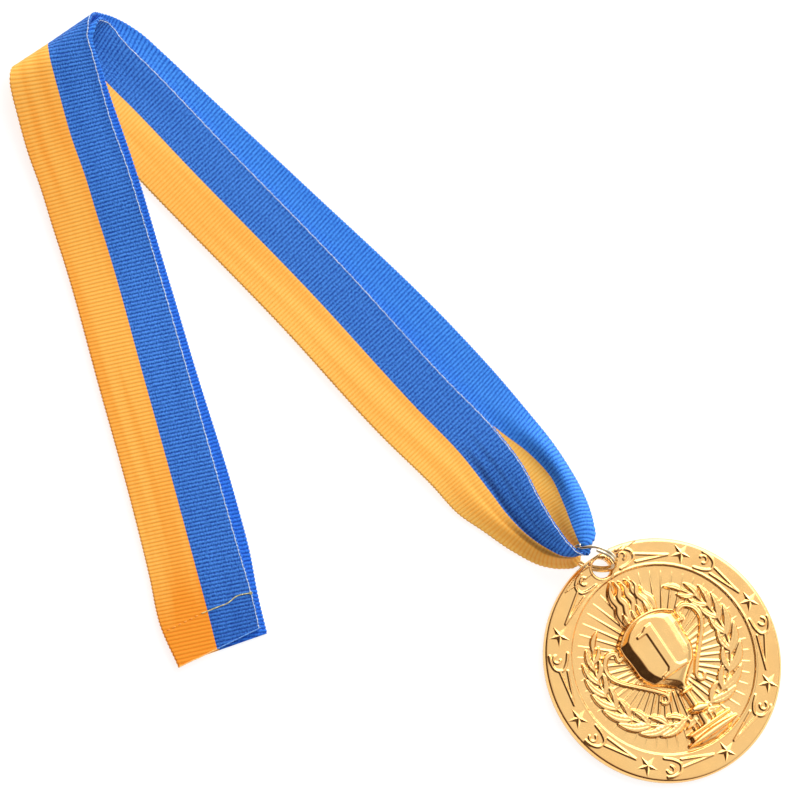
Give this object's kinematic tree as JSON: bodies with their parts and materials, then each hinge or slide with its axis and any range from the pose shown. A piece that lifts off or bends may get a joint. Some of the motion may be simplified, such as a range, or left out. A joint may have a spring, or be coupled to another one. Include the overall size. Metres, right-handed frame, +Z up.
{
  "type": "sports medal on a ribbon",
  "caption": "Round stamped medal with a cup, a wreath and stars, on a split ring and a folded two-colour ribbon laid flat.",
  "frame": {"origin": "middle of the laid out object, on the surface that it lies on", "axes": "+X from the ribbon's fold to the medal, +Y across the medal away from the sewn ends, +Z up"},
  "size_m": [0.2608, 0.135, 0.0129],
  "materials": {
    "gold": "stamped and gold plated, satin",
    "ring_wire": "pale plated spring wire",
    "ribbon_cloth": "ribbed grosgrain, blue half and yellow half"
  },
  "bodies": {
    "root": {"medal": "gold", "split_ring": "ring_wire", "ribbon": "ribbon_cloth"}
  },
  "joints": []
}
